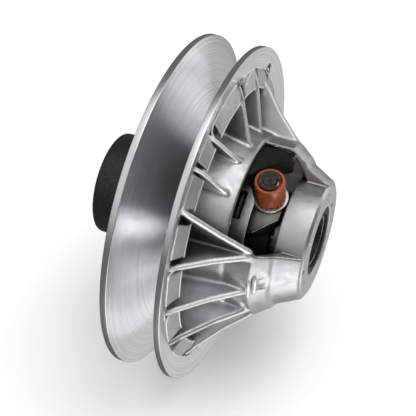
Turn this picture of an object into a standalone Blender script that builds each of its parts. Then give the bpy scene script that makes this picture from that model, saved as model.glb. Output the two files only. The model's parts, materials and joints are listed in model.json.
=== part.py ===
"""Driven pulley of a belt transmission: two conical sheaves on a splined post, the sliding one with a
two-legged tower whose ramps climb on two rollers.

Every sub-part is drawn in millimetres about its own turning axis, as radius, angle and station. The
station runs from the rear hub's end face at 0 towards the tower's nose. In the world the axis is Y and
the nose points along -Y, so a point at (radius, angle, station) stands at
(radius * cos(angle), -station, radius * sin(angle)).
"""

from math import cos, pi, radians, sin, sqrt, tan

import bmesh
import bpy
from mathutils import Vector

# ---- driving dimensions, in millimetres and degrees ----
MM = 0.001
SHEAVE_R = 120.0          # both sheaves' outer radius
FACE_ANGLE = 13.0         # each belt face's slope
FIXED_RIM = (48.0, 52.6)  # the fixed sheave's rim, rear and front stations
SLIDING_RIM = (85.2, 89.4)
FACE_INNER_R = 50.5       # where both belt faces end
POST_R = 19.0
POST_END = 154.0
BORE_R = 12.5             # minor radius of the splined bore
COUNTERBORE_R = 16.5
COUNTERBORE_FROM = 130.0
SPLINE_TEETH = 18
SPLINE_DEPTH = 1.1
REAR_HUB_R = 37.0
REAR_HUB_END = 41.7
FIXED_WEB = (42.0, 49.5)
RUNNING_GAP = 0.3         # between pieces that touch or nearly touch
BUSHING_BORE_R = 19.1
SHEAVE_BUSHING_R = 22.0
NOSE_BUSHING_R = 24.0
WELL_R = 43.5             # the sliding sheave's spring well
WELL_FLOOR = 55.6
RAMP_FLOOR = 77.0
COLLAR_R = 59.9           # opening edge of the tower's collar
COLLAR_TOP = 107.2
RING_WALL_R = 92.3
RING_WALL_TOP = 91.0
SHOULDER_R = 104.9
SHOULDER_TOP = 87.1
LEG_START = 153.0         # one leg's wall spans these angles, the other stands opposite
LEG_END = 250.0
LEG_WALL = (58.6, 61.5)
NOSE_FLOOR = 135.0
NOSE_TOP = 156.4
ROLLER_ANGLE = 102.2
ROLLER_STATION = 121.9
ROLLER_R = 10.2
ROLLER_SPAN = (38.6, 56.6)
PIN_R = 4.5
RAMP_RADII = (45.6, 58.3)
RAMP_ANGLES = (70.8, 136.5)
RAMP_LEAD = 48.0          # axial rise in millimetres for each radian of twist
RAMP_TOP = 129.5
RAMP_CLEARANCE = 0.3      # between a ramp and its roller
CUP_R = (42.4, 45.0)
CUP_STATIONS = (99.8, 114.6)
CUP_FLOOR = (109.0, 110.4)
SPIDER_STATIONS = (110.8, 127.0)
ARM_R = 37.0              # the spider's arms
ARM_TOP = 132.6
ARM_ANGLES = (84.0, 146.0)
WASHER_SEAT = 36.2        # distance out of the flat that the roller's washer sits on
WASHER_R = 11.0
SPRING_MEAN_R = 37.0
WIRE_R = 2.8
SPRING_TURNS = 4.5
SPRING_SPAN = (59.8, 108.7)
STEPS = 48                # facets around the large turned pieces
MIDDLE_STEPS = 36
SMALL_STEPS = 20
RAMP_PIN_R = 52.0         # the ramps' locating dowels

# plan of the ribs of one half: outer angle, inner angle, True where the rib climbs a leg
RIBS = (
    (136.5, 151.5, True),
    (157.0, 154.2, True),
    (177.0, 180.5, True),
    (197.5, 205.0, True),
    (227.0, 230.0, True),
    (60.0, 61.0, False),
    (79.0, 83.0, False),
    (107.0, 97.5, False),
    (120.5, 120.5, False),
)


def clear_scene():
    for item in list(bpy.data.objects):
        bpy.data.objects.remove(item, do_unlink=True)


def make_material(name, colour, metallic, roughness):
    material = bpy.data.materials.new(name)
    material.use_nodes = True
    shader = material.node_tree.nodes["Principled BSDF"]
    shader.inputs["Base Color"].default_value = (*colour, 1.0)
    shader.inputs["Metallic"].default_value = metallic
    shader.inputs["Roughness"].default_value = roughness
    return material


def make_empty(name, station=0.0, parent=None):
    """A moving half's pivot, on the turning axis."""
    pivot = bpy.data.objects.new(name, None)
    bpy.context.collection.objects.link(pivot)
    pivot.parent = parent
    pivot.location = (0.0, 0.0, station * MM)
    return pivot


def add_object(name, shape, material=None, parent=None):
    """Turns a bmesh drawn in millimetres into an object, closed and facing out."""
    bmesh.ops.recalc_face_normals(shape, faces=shape.faces)
    mesh = bpy.data.meshes.new(name)
    shape.to_mesh(mesh)
    shape.free()
    for vertex in mesh.vertices:
        vertex.co *= MM
    mesh.shade_smooth()
    mesh.set_sharp_from_angle(angle=radians(32.0))
    item = bpy.data.objects.new(name, mesh)
    bpy.context.collection.objects.link(item)
    item.parent = parent
    if material:
        mesh.materials.append(material)
    return item


def polar(radius, angle, station):
    return Vector((radius * cos(radians(angle)), radius * sin(radians(angle)), station))


def turned(outline, steps=STEPS, start=0.0, sweep=360.0):
    """Revolves a closed (radius, station) outline; ends at radius 0 close on the axis."""
    shape = bmesh.new()
    full = sweep >= 360.0
    count = steps if full else steps + 1
    rings = []
    poles = {}
    for step in range(count):
        angle = start + sweep * step / steps
        ring = []
        for index, (radius, station) in enumerate(outline):
            if radius > 0.0:
                ring.append(shape.verts.new(polar(radius, angle, station)))
            else:
                if index not in poles:
                    poles[index] = shape.verts.new((0.0, 0.0, station))
                ring.append(poles[index])
        rings.append(ring)
    closed = not poles
    spans = len(outline) if closed else len(outline) - 1
    for step in range(steps):
        here, there = rings[step], rings[(step + 1) % count]
        for index in range(spans):
            after = (index + 1) % len(outline)
            corners = [here[index], here[after], there[after], there[index]]
            unique = list(dict.fromkeys(corners))
            shape.faces.new(unique)
    if not full:
        shape.faces.new(rings[0])
        shape.faces.new(rings[-1])
    return shape


def prism(outline, direction, base):
    """Extrudes a list of points, each base(point), by the vector direction."""
    shape = bmesh.new()
    near = [shape.verts.new(base(point)) for point in outline]
    far = [shape.verts.new(base(point) + direction) for point in outline]
    shape.faces.new(near)
    shape.faces.new(far)
    for index in range(len(outline)):
        after = (index + 1) % len(outline)
        shape.faces.new((near[index], near[after], far[after], far[index]))
    return shape


def radial_prism(angle, outline, inner, outer):
    """A block whose outline is (across, station), running outward from inner to outer."""
    outward = polar(1.0, angle, 0.0)
    across = polar(1.0, angle + 90.0, 0.0)
    up = Vector((0.0, 0.0, 1.0))

    def base(point):
        return outward * inner + across * point[0] + up * point[1]

    return prism(outline, outward * (outer - inner), base)


def radial_turned(outline, angle, station, steps=SMALL_STEPS):
    """A turned piece whose own axis points outward at the angle; outline is (radius, distance out)."""
    shape = turned(outline, steps)
    outward = polar(1.0, angle, 0.0)
    across = polar(1.0, angle + 90.0, 0.0)
    up = Vector((0.0, 0.0, 1.0))
    for vertex in shape.verts:
        x, y, z = vertex.co
        vertex.co = outward * z + across * x + up * (y + station)
    return shape


def combine(target, shape, operation, parent, name):
    """Adds a hidden tool body to the target's Boolean stack."""
    tool = add_object(name, shape, parent=parent)
    tool.hide_render = True
    tool.display_type = "WIRE"
    modifier = target.modifiers.new(name, "BOOLEAN")
    modifier.operation = operation
    modifier.object = tool
    modifier.solver = "EXACT"


def face_station(rim_station, radius, direction):
    """Station of a belt face at a radius; direction is 1 where the cone leans towards the nose."""
    return rim_station + direction * (SHEAVE_R - radius) * tan(radians(FACE_ANGLE))


def sliding_face(radius):
    return face_station(SLIDING_RIM[0], radius, -1)


def fixed_face(radius):
    return face_station(FIXED_RIM[1], radius, 1)


def ramp_height(radius, angle):
    """The ramp surface that a roller of this size follows at a constant lead."""
    turn = radians(angle - ROLLER_ANGLE)
    slant = sqrt(1.0 + (RAMP_LEAD / radius) ** 2)
    drop = (ROLLER_R + RAMP_CLEARANCE) * slant
    return min(RAMP_TOP, ROLLER_STATION - RAMP_LEAD * turn - drop)


# ---- fixed half ----
def build_fixed_sheave(material, parent):
    rib_count = 12
    rib_half = 1.6
    chamfer = 0.6
    rear, front = FIXED_RIM
    shell = front - rear
    outline = [
        (SHEAVE_R - chamfer, front + 0.1),
        (SHEAVE_R, front - chamfer),
        (SHEAVE_R, rear + chamfer),
        (SHEAVE_R - chamfer, rear),
        (57.0, fixed_face(57.0) - shell),
        (55.0, 60.5),
        (54.0, 58.0),
        (54.0, FIXED_WEB[0] + 1.5),
        (52.5, FIXED_WEB[0]),
        (POST_R + RUNNING_GAP, FIXED_WEB[0]),
        (POST_R + RUNNING_GAP, FIXED_WEB[1]),
        (47.5, FIXED_WEB[1]),
        (49.3, FIXED_WEB[1] + 1.8),
        (49.3, fixed_face(FACE_INNER_R) - 1.0),
        (FACE_INNER_R, fixed_face(FACE_INNER_R)),
    ]
    sheave = add_object("fixed_sheave", turned(outline), material, parent)
    for index in range(rib_count):
        profile = [
            (52.6, FIXED_WEB[0] + 3.0),
            (112.0, fixed_face(112.0) - shell - 0.8),
            (112.0, fixed_face(112.0) - shell / 2),
            (52.6, 62.0),
        ]
        combine(sheave, rib_block(profile, 360.0 * index / rib_count, rib_half), "UNION", parent,
                f"back_rib_{index + 1}")
    for index in range(6):
        hole = turned([(0.0, 20.0), (3.3, 20.0), (3.3, 45.9), (6.0, 48.9), (6.0, 52.0), (0.0, 52.0)], 12)
        shift(hole, polar(30.0, 60.0 * index + 30.0, 0.0))
        combine(sheave, hole, "DIFFERENCE", parent, f"rivet_hole_{index + 1}")
    return sheave


def rib_block(profile, angle, half):
    """A flat radial rib whose (radius, station) profile stands in the plane at the angle."""
    outward = polar(1.0, angle, 0.0)
    across = polar(1.0, angle + 90.0, 0.0)
    up = Vector((0.0, 0.0, 1.0))

    def base(point):
        return outward * point[0] + up * point[1] - across * half

    return prism(profile, across * 2 * half, base)


def shift(shape, offset):
    for vertex in shape.verts:
        vertex.co += offset


def build_hub_post(material, parent):
    outline = [
        (BORE_R, 0.5),
        (POST_R - 1.0, 0.5),
        (POST_R, 1.5),
        (POST_R, 127.1),
        (POST_R - 1.1, 127.1),
        (POST_R - 1.1, 129.0),
        (POST_R, 129.0),
        (POST_R, POST_END - 1.0),
        (POST_R - 0.8, POST_END),
        (COUNTERBORE_R + 0.5, POST_END),
        (COUNTERBORE_R, POST_END - 0.6),
        (COUNTERBORE_R, COUNTERBORE_FROM),
        (BORE_R, COUNTERBORE_FROM),
    ]
    post = add_object("hub_post", turned(outline, MIDDLE_STEPS), material, parent)
    teeth = []
    for tooth in range(SPLINE_TEETH):
        middle = 360.0 * tooth / SPLINE_TEETH
        for offset, depth in ((-6.2, -SPLINE_DEPTH / 2), (-3.4, SPLINE_DEPTH), (3.4, SPLINE_DEPTH),
                              (6.2, -SPLINE_DEPTH / 2)):
            teeth.append((BORE_R + depth, middle + offset))
    star = prism(teeth, Vector((0.0, 0.0, 131.0)), lambda point: polar(point[0], point[1], -1.0))
    combine(post, star, "DIFFERENCE", parent, "spline_cut")
    for index in range(2):
        seat = radial_prism(12.2 + 180.0 * index, box_outline(2.75, 111.4, 126.6), 16.9, 21.0)
        combine(post, seat, "DIFFERENCE", parent, f"post_keyway_{index + 1}")
    return post


def box_outline(half_width, low, high):
    return [(-half_width, low), (half_width, low), (half_width, high), (-half_width, high)]


def build_rear_hub(material, parent):
    outline = [
        (POST_R + RUNNING_GAP, 0.0),
        (34.4, 0.0),
        (36.2, 0.7),
        (REAR_HUB_R, 2.4),
        (REAR_HUB_R, REAR_HUB_END),
        (POST_R + RUNNING_GAP, REAR_HUB_END),
    ]
    hub = add_object("rear_hub", turned(outline, MIDDLE_STEPS), material, parent)
    for index in range(6):
        hole = turned([(0.0, 27.0), (3.3, 27.0), (3.3, 44.0), (0.0, 44.0)], 12)
        shift(hole, polar(30.0, 60.0 * index + 30.0, 0.0))
        combine(hub, hole, "DIFFERENCE", parent, f"rivet_seat_{index + 1}")
    return hub


def build_hub_rivets(material, parent):
    outline = [(0.0, 28.0), (3.0, 28.0), (3.0, 45.9), (5.6, 48.6), (5.6, 49.3), (0.0, 49.3)]
    for index in range(6):
        rivet = turned(outline, 12)
        shift(rivet, polar(30.0, 60.0 * index + 30.0, 0.0))
        add_object(f"hub_rivet_{index + 1}", rivet, material, parent)


def build_spider(material, parent):
    """A hub with two broad arms; each arm's flank slants beside the ramp that passes it."""
    low, high = SPIDER_STATIONS
    bore = POST_R + RUNNING_GAP
    hub = [(bore, low), (24.5, low), (25.5, low + 1.0), (25.5, high - 1.0), (24.5, high), (bore, high)]
    arm = [(23.2, low), (ARM_R - 1.0, low), (ARM_R, low + 1.0), (ARM_R, ARM_TOP - 1.0), (ARM_R - 1.0, ARM_TOP),
           (30.4, ARM_TOP), (28.8, 129.0), (23.2, 129.0)]
    flank = [(12.6, ARM_TOP + 1.0), (25.8, ARM_TOP - 18.0), (25.8, low - 1.0), (45.0, low - 1.0),
             (45.0, ARM_TOP + 1.0)]
    spider = add_object("spider", turned(hub, MIDDLE_STEPS), material, parent)
    for index in range(2):
        turn = 180.0 * index
        angle = ROLLER_ANGLE + turn
        wedge = turned(arm, 12, start=ARM_ANGLES[0] + turn, sweep=ARM_ANGLES[1] - ARM_ANGLES[0])
        combine(spider, wedge, "UNION", parent, f"arm_{index + 1}")
        combine(spider, radial_prism(angle, flank, 15.0, 45.0), "DIFFERENCE", parent, f"arm_flank_{index + 1}")
        combine(spider, radial_prism(angle, box_outline(30.0, low - 1.0, ARM_TOP + 1.0), WASHER_SEAT, 45.0),
                "DIFFERENCE", parent, f"washer_seat_{index + 1}")
        bore_tool = radial_turned([(0.0, 22.0), (PIN_R + 0.3, 22.0), (PIN_R + 0.3, 40.0), (0.0, 40.0)], angle,
                                  ROLLER_STATION)
        combine(spider, bore_tool, "DIFFERENCE", parent, f"pin_bore_{index + 1}")
        keyway = radial_prism(12.2 + turn, box_outline(2.75, low - 1.0, high + 1.0), 16.0, 21.9)
        combine(spider, keyway, "DIFFERENCE", parent, f"spider_keyway_{index + 1}")
    return spider


def build_keys(material, parent):
    for index in range(2):
        key = radial_prism(12.2 + 180.0 * index, box_outline(2.5, 112.0, 126.0), 17.2, 21.6)
        add_object(f"spider_key_{index + 1}", key, material, parent)


def build_lock_ring(material, parent):
    gap = 24.0
    outline = [(18.2, 127.3), (22.6, 127.3), (22.6, 128.8), (18.2, 128.8)]
    ring = turned(outline, 24, start=gap / 2, sweep=360.0 - gap)
    add_object("spider_lock_ring", ring, material, parent)


def build_spring_cup(material, parent):
    inner, outer = CUP_R
    low, high = CUP_STATIONS
    bore = POST_R + 0.5
    outline = [
        (bore, CUP_FLOOR[0]),
        (inner, CUP_FLOOR[0]),
        (inner, low),
        (outer, low),
        (outer, high - 0.5),
        (outer - 0.5, high),
        (inner, high),
        (inner, CUP_FLOOR[1]),
        (bore, CUP_FLOOR[1]),
    ]
    cup = add_object("spring_cup", turned(outline, MIDDLE_STEPS), material, parent)
    notch = [(8.0, high + 2.0), (8.0, 114.0), (-6.1, 104.8), (-14.0, 104.8), (-14.0, high + 2.0)]
    for index in range(2):
        turn = 180.0 * index
        slot = radial_prism(121.0 + turn, box_outline(9.9, 102.3, 108.0), 38.0, 48.0)
        combine(cup, slot, "DIFFERENCE", parent, f"cup_slot_{index + 1}")
        combine(cup, radial_prism(ROLLER_ANGLE + turn, notch, 42.2, 48.0), "DIFFERENCE", parent,
                f"cup_notch_{index + 1}")
        relief = radial_turned([(0.0, 30.0), (11.1, 30.0), (11.1, 50.0), (0.0, 50.0)],
                               ROLLER_ANGLE + turn, ROLLER_STATION)
        combine(cup, relief, "DIFFERENCE", parent, f"cup_relief_{index + 1}")
    return cup


def build_spring(material, parent):
    """A round-wire helix drawn as a bevelled curve."""
    points_per_turn = 16
    low = SPRING_SPAN[0] + WIRE_R
    high = SPRING_SPAN[1] - WIRE_R
    count = int(SPRING_TURNS * points_per_turn) + 1
    curve = bpy.data.curves.new("spring", "CURVE")
    curve.dimensions = "3D"
    curve.bevel_depth = WIRE_R * MM
    curve.bevel_resolution = 1
    curve.use_fill_caps = True
    spline = curve.splines.new("POLY")
    spline.points.add(count - 1)
    for index in range(count):
        share = index / (count - 1)
        place = polar(SPRING_MEAN_R, 360.0 * SPRING_TURNS * share, low + (high - low) * share) * MM
        spline.points[index].co = (*place, 1.0)
    curve.materials.append(material)
    spring = bpy.data.objects.new("spring", curve)
    bpy.context.collection.objects.link(spring)
    spring.parent = parent
    return spring


def build_roller_pins(steel, clip_steel, parent):
    pin = [
        (0.0, 24.0),
        (PIN_R, 24.0),
        (PIN_R, 56.5),
        (PIN_R - 0.8, 56.5),
        (PIN_R - 0.8, 57.5),
        (PIN_R, 57.5),
        (PIN_R - 0.4, 57.9),
        (0.0, 57.9),
    ]
    washer = [
        (PIN_R + 0.3, 36.5),
        (WASHER_R - 0.6, 36.5),
        (WASHER_R, 37.1),
        (WASHER_R, 38.0),
        (WASHER_R - 0.3, 38.3),
        (PIN_R + 0.3, 38.3),
    ]
    clip = [(PIN_R - 0.5, 56.7), (7.4, 56.7), (7.4, 57.3), (PIN_R - 0.5, 57.3)]
    for index in range(2):
        angle = ROLLER_ANGLE + 180.0 * index
        number = index + 1
        add_object(f"roller_pin_{number}", radial_turned(pin, angle, ROLLER_STATION, 16), steel, parent)
        add_object(f"roller_washer_{number}", radial_turned(washer, angle, ROLLER_STATION), clip_steel, parent)
        ring = add_object(f"pin_clip_{number}", radial_turned(clip, angle, ROLLER_STATION, 16), clip_steel,
                          parent)
        mouth = radial_prism(angle, box_outline(2.6, ROLLER_STATION, ROLLER_STATION + 12.0), 55.0, 60.0)
        combine(ring, mouth, "DIFFERENCE", parent, f"clip_mouth_{number}")


# ---- rollers ----
def build_rollers(plastic, bronze, pivots):
    inner, outer = ROLLER_SPAN
    tyre = [
        (6.5, inner),
        (ROLLER_R - 0.9, inner),
        (ROLLER_R, inner + 0.9),
        (ROLLER_R, outer - 1.2),
        (ROLLER_R - 1.2, outer),
        (8.2, outer),
        (7.8, outer - 2.6),
        (6.5, outer - 2.6),
    ]
    sleeve = [(PIN_R + 0.3, inner + 0.3), (6.2, inner + 0.3), (6.2, outer - 1.0), (PIN_R + 0.3, outer - 1.0)]
    for index, pivot in enumerate(pivots):
        number = index + 1
        angle = ROLLER_ANGLE + 180.0 * index
        add_object(f"roller_{number}", radial_turned(tyre, angle, 0.0, 24), plastic, pivot)
        add_object(f"roller_sleeve_{number}", radial_turned(sleeve, angle, 0.0), bronze, pivot)


# ---- spring seat, which slides without turning ----
def build_spring_seat(steel, bronze, parent):
    seat = [(27.2, 57.5), (42.9, 57.5), (42.9, 58.4), (42.2, 59.5), (28.0, 59.5), (27.2, 58.7)]
    add_object("spring_seat", turned(seat, MIDDLE_STEPS), steel, parent)
    washer = [(26.6, 55.9), (42.8, 55.9), (42.8, 57.2), (26.6, 57.2)]
    add_object("thrust_washer", turned(washer, MIDDLE_STEPS), bronze, parent)


# ---- sliding half ----
def rib_in_plan(outer_angle, inner_angle, climbs):
    """A straight rib from the shoulder to the tower, in plan between two angles."""
    outer_r = 98.5
    inner_r = 60.3
    crest_half = 1.3
    foot_half = 2.0
    outer = polar(outer_r, outer_angle, 0.0)
    inner = polar(inner_r, inner_angle, 0.0)
    along = inner - outer
    across = Vector((-along.y, along.x, 0.0)).normalized()
    up = Vector((0.0, 0.0, 1.0))
    outer_low = sliding_face(outer_r) + 2.5
    inner_low = sliding_face(inner_r) + 2.5
    if climbs:
        crest = [(0.0, 89.2), (0.03, 91.0), (0.52, 107.2), (1.0, 126.2)]
    else:
        crest = [(0.0, 89.6), (0.03, 90.6), (1.0, 101.8)]
    foot = [outer_low + (inner_low - outer_low) * share for share, _ in crest]
    shape = bmesh.new()
    rows = []
    for (share, top), low in zip(crest, foot):
        place = outer + along * share
        rows.append([
            shape.verts.new(place - across * foot_half + up * low),
            shape.verts.new(place + across * foot_half + up * low),
            shape.verts.new(place + across * crest_half + up * top),
            shape.verts.new(place - across * crest_half + up * top),
        ])
    for here, there in zip(rows, rows[1:]):
        for index in range(4):
            after = (index + 1) % 4
            shape.faces.new((here[index], here[after], there[after], there[index]))
    shape.faces.new(rows[0])
    shape.faces.new(rows[-1])
    return shape


def build_sliding_sheave(material, parent):
    rear, front = SLIDING_RIM
    chamfer = 0.6
    plate = 4.6
    wall_low, wall_high = LEG_WALL
    outline = [
        (SHEAVE_R - chamfer, rear - 0.1),
        (SHEAVE_R, rear + chamfer),
        (SHEAVE_R, front - chamfer),
        (SHEAVE_R - chamfer, front),
        (SHOULDER_R, SHOULDER_TOP),
        (RING_WALL_R + 1.2, RING_WALL_TOP - 0.2),
        (RING_WALL_R, RING_WALL_TOP),
        (RING_WALL_R - 1.4, RING_WALL_TOP - 0.6),
        (RING_WALL_R - 2.7, sliding_face(89.6) + plate),
        (71.0, sliding_face(71.0) + plate),
        (67.5, 81.5),
        (wall_high + 1.0, COLLAR_TOP - 3.0),
        (wall_high, COLLAR_TOP - 0.4),
        (COLLAR_R, COLLAR_TOP),
        (wall_low + 0.6, COLLAR_TOP - 0.7),
        (wall_low + 0.2, COLLAR_TOP - 3.0),
        (wall_low + 0.2, RAMP_FLOOR),
        (WELL_R, RAMP_FLOOR),
        (WELL_R, WELL_FLOOR),
        (26.0, WELL_FLOOR),
        (26.0, 84.0),
        (SHEAVE_BUSHING_R + RUNNING_GAP, 84.0),
        (SHEAVE_BUSHING_R + RUNNING_GAP, 52.5),
        (46.5, 52.5),
        (47.5, 53.5),
        (47.5, sliding_face(FACE_INNER_R) - 1.0),
        (FACE_INNER_R, sliding_face(FACE_INNER_R)),
    ]
    sheave = add_object("sliding_sheave", turned(outline), material, parent)
    nose = [
        (NOSE_BUSHING_R + RUNNING_GAP, 129.6),
        (28.0, 129.6),
        (28.0, 133.5),
        (29.5, NOSE_FLOOR),
        (39.6, NOSE_FLOOR),
        (40.6, NOSE_FLOOR + 1.0),
        (41.3, NOSE_TOP - 1.2),
        (40.1, NOSE_TOP),
        (25.2, NOSE_TOP),
        (NOSE_BUSHING_R + RUNNING_GAP, NOSE_TOP - 0.8),
    ]
    leg = [
        (wall_low, 74.0),
        (wall_high, 74.0),
        (wall_high, 126.5),
        (59.9, 128.6),
        (54.4, 136.2),
        (50.8, 138.8),
        (42.3, NOSE_TOP - 1.8),
        (38.0, NOSE_TOP - 1.8),
        (38.0, 141.5),
        (47.0, 135.6),
        (57.0, 127.8),
        (wall_low, 125.0),
    ]
    for index in range(2):
        shape = turned(leg, 16, start=LEG_START + 180.0 * index, sweep=LEG_END - LEG_START)
        combine(sheave, shape, "UNION", parent, f"leg_{index + 1}")
    combine(sheave, turned(nose, MIDDLE_STEPS, start=3.0), "UNION", parent, "nose")
    for half in range(2):
        for number, (outer_angle, inner_angle, climbs) in enumerate(RIBS):
            turn = 180.0 * half
            rib = rib_in_plan(outer_angle + turn, inner_angle + turn, climbs)
            combine(sheave, rib, "UNION", parent, f"rib_{half + 1}_{number + 1}")
    for number, angle in enumerate(ramp_pin_angles()):
        hole = turned([(0.0, 72.0), (2.8, 72.0), (2.8, 80.0), (0.0, 80.0)], 12)
        shift(hole, polar(RAMP_PIN_R, angle, 0.0))
        combine(sheave, hole, "DIFFERENCE", parent, f"dowel_hole_{number + 1}")
    return sheave


def ramp_pin_angles():
    return [angle + turn for turn in (0.0, 180.0) for angle in (76.0, 98.0)]


def build_bushings(bronze, black, parent):
    bore = BUSHING_BORE_R + 0.2
    sheave_bushing = [(bore, 53.0), (SHEAVE_BUSHING_R, 53.0), (SHEAVE_BUSHING_R, 83.8), (bore, 83.8)]
    add_object("sheave_bushing", turned(sheave_bushing, MIDDLE_STEPS), bronze, parent)
    nose_bushing = [
        (bore, 129.3),
        (NOSE_BUSHING_R, 129.3),
        (NOSE_BUSHING_R, NOSE_TOP - 1.4),
        (NOSE_BUSHING_R - 0.8, NOSE_TOP - 0.6),
        (bore + 0.8, NOSE_TOP - 0.6),
        (bore, NOSE_TOP - 1.4),
    ]
    add_object("tower_bushing", turned(nose_bushing, MIDDLE_STEPS), black, parent)


def build_ramps(black, steel, parent):
    """Each ramp is a curved wedge whose top is the surface that its roller follows."""
    low = RAMP_FLOOR + RUNNING_GAP
    rings = 2
    columns = 22
    for half in range(2):
        turn = 180.0 * half
        shape = bmesh.new()
        top, bottom = [], []
        for column in range(columns + 1):
            angle = RAMP_ANGLES[0] + (RAMP_ANGLES[1] - RAMP_ANGLES[0]) * column / columns
            top_row, bottom_row = [], []
            for ring in range(rings + 1):
                radius = RAMP_RADII[0] + (RAMP_RADII[1] - RAMP_RADII[0]) * ring / rings
                top_row.append(shape.verts.new(polar(radius, angle + turn, ramp_height(radius, angle))))
                bottom_row.append(shape.verts.new(polar(radius, angle + turn, low)))
            top.append(top_row)
            bottom.append(bottom_row)
        close_slab(shape, top, bottom)
        ramp = add_object(f"ramp_{half + 1}", shape, black, parent)
        for number, angle in enumerate(ramp_pin_angles()[2 * half:2 * half + 2]):
            hole = turned([(0.0, 70.0), (2.8, 70.0), (2.8, 86.0), (0.0, 86.0)], 12)
            shift(hole, polar(RAMP_PIN_R, angle, 0.0))
            combine(ramp, hole, "DIFFERENCE", parent, f"ramp_hole_{half + 1}_{number + 1}")
    for number, angle in enumerate(ramp_pin_angles()):
        dowel = turned([(0.0, 72.4), (2.2, 72.4), (2.5, 72.8), (2.5, 85.2), (2.2, 85.6), (0.0, 85.6)], 12)
        shift(dowel, polar(RAMP_PIN_R, angle, 0.0))
        add_object(f"ramp_dowel_{number + 1}", dowel, steel, parent)


def close_slab(shape, top, bottom):
    """Faces between two grids of the same size, and around their edge."""
    rows, columns = len(top), len(top[0])
    for row in range(rows - 1):
        for column in range(columns - 1):
            for grid in (top, bottom):
                shape.faces.new((grid[row][column], grid[row + 1][column], grid[row + 1][column + 1],
                                 grid[row][column + 1]))
    edge = [(row, 0) for row in range(rows)]
    edge += [(rows - 1, column) for column in range(1, columns)]
    edge += [(row, columns - 1) for row in range(rows - 2, -1, -1)]
    edge += [(0, column) for column in range(columns - 2, 0, -1)]
    for (row, column), (next_row, next_column) in zip(edge, edge[1:] + edge[:1]):
        shape.faces.new((top[row][column], top[next_row][next_column], bottom[next_row][next_column],
                         bottom[row][column]))


def build():
    clear_scene()
    cast = make_material("cast_aluminium", (0.55, 0.56, 0.57), 1.0, 0.42)
    machined = make_material("machined_aluminium", (0.72, 0.72, 0.73), 1.0, 0.24)
    black_steel = make_material("black_steel", (0.03, 0.03, 0.035), 0.6, 0.45)
    steel = make_material("bright_steel", (0.6, 0.6, 0.6), 1.0, 0.3)
    spider_steel = make_material("spider_casting", (0.35, 0.35, 0.3), 0.9, 0.45)
    plastic = make_material("roller_plastic", (0.42, 0.1, 0.03), 0.0, 0.35)
    ramp_plastic = make_material("ramp_plastic", (0.015, 0.015, 0.018), 0.0, 0.4)
    bronze = make_material("bronze", (0.5, 0.36, 0.18), 1.0, 0.35)
    spring_steel = make_material("spring_steel", (0.12, 0.12, 0.13), 0.8, 0.4)

    fixed = make_empty("fixed_half")
    fixed.rotation_euler = (pi / 2, 0.0, 0.0)
    seat = make_empty("spring_seat_slide", parent=fixed)
    sliding = make_empty("sliding_half_twist", parent=seat)
    rollers = [make_empty(f"roller_spin_{number}", ROLLER_STATION, fixed) for number in (1, 2)]

    build_fixed_sheave(machined, fixed)
    build_hub_post(steel, fixed)
    build_rear_hub(black_steel, fixed)
    build_hub_rivets(steel, fixed)
    build_spider(spider_steel, fixed)
    build_keys(steel, fixed)
    build_lock_ring(steel, fixed)
    build_spring_cup(cast, fixed)
    build_spring(spring_steel, fixed)
    build_roller_pins(steel, steel, fixed)
    build_rollers(plastic, bronze, rollers)
    build_spring_seat(steel, bronze, seat)
    build_sliding_sheave(cast, sliding)
    build_bushings(bronze, ramp_plastic, sliding)
    build_ramps(ramp_plastic, steel, sliding)


build()
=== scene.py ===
"""Looks of the driven pulley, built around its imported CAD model.

Pieces are drawn in millimetres about the turning axis, as radius, angle and station. The station runs from
the rear hub's end towards the tower's nose, so (radius, angle, station) stands in the row frame at
(radius * cos(angle), -station, radius * sin(angle)). The castings are solid fields with rounded joins,
turned into meshes on a fine grid.
"""

import json
import math

import bmesh
import bpy
import numpy as np
from mathutils import Matrix, Vector


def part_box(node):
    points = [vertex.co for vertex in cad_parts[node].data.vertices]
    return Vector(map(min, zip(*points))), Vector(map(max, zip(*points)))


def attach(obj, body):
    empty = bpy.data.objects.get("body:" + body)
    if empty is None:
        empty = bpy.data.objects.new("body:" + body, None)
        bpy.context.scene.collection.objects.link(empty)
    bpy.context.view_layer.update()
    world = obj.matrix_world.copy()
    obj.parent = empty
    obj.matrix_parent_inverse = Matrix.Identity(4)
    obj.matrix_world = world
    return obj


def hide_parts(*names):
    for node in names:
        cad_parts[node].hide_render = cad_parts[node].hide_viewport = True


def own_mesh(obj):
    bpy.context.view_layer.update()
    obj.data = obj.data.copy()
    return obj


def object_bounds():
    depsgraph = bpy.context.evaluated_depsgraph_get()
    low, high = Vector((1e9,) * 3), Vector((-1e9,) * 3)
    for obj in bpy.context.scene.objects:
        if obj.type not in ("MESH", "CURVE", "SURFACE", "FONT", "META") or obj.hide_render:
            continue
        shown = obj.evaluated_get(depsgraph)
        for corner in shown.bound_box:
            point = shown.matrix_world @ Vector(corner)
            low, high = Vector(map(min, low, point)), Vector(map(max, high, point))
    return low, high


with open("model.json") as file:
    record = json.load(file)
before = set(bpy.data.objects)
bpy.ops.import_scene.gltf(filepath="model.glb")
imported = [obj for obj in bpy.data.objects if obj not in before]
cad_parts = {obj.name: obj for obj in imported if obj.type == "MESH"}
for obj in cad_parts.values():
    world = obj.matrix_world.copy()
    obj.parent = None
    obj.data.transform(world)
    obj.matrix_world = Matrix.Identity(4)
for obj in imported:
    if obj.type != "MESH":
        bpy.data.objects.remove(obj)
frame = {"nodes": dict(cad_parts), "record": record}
cad_low, cad_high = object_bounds()

MM = 0.001
SHEAVE_R = cad_high.x / MM
FACE_SLOPE = math.tan(math.radians(13.0))
FIXED_RIM = (48.0, 52.6)
SLIDING_RIM = (85.2, 89.4)
ROLLER_ANGLE = 102.2
ROLLER_STATION = 121.9


# ---- mesh helpers ----
def polar(radius, angle, station):
    turn = math.radians(angle)
    return Vector((radius * math.cos(turn), -station, radius * math.sin(turn))) * MM


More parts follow.
